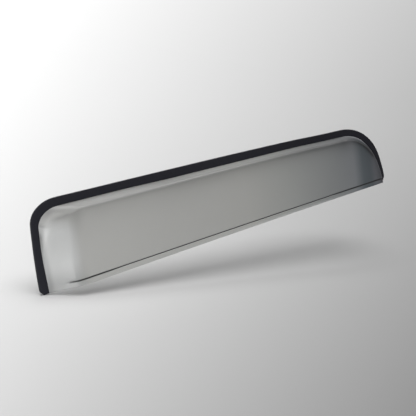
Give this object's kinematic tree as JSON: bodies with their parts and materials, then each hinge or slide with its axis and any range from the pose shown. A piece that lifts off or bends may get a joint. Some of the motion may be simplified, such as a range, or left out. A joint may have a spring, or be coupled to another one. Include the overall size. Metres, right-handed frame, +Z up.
{
  "type": "window rain deflector",
  "caption": "Stick-on side window visor: a bulged smoke-tinted shell with a black mounting flange on its ends and top and an open lipped lower edge.",
  "frame": {"origin": "middle of the tape's top run, on its bonding face", "axes": "+X along the top edge towards the rear end, +Y into the vehicle square to the bonding face, +Z up"},
  "size_m": [0.5409, 0.021, 0.1095],
  "materials": {
    "smoked_acrylic": "gloss, lightly smoke tinted and translucent",
    "black_border": "satin black",
    "foam_tape": "dull foam"
  },
  "bodies": {
    "root": {"visor_shell": "smoked_acrylic", "flange_border": "black_border", "mounting_tape": "foam_tape"}
  },
  "joints": []
}
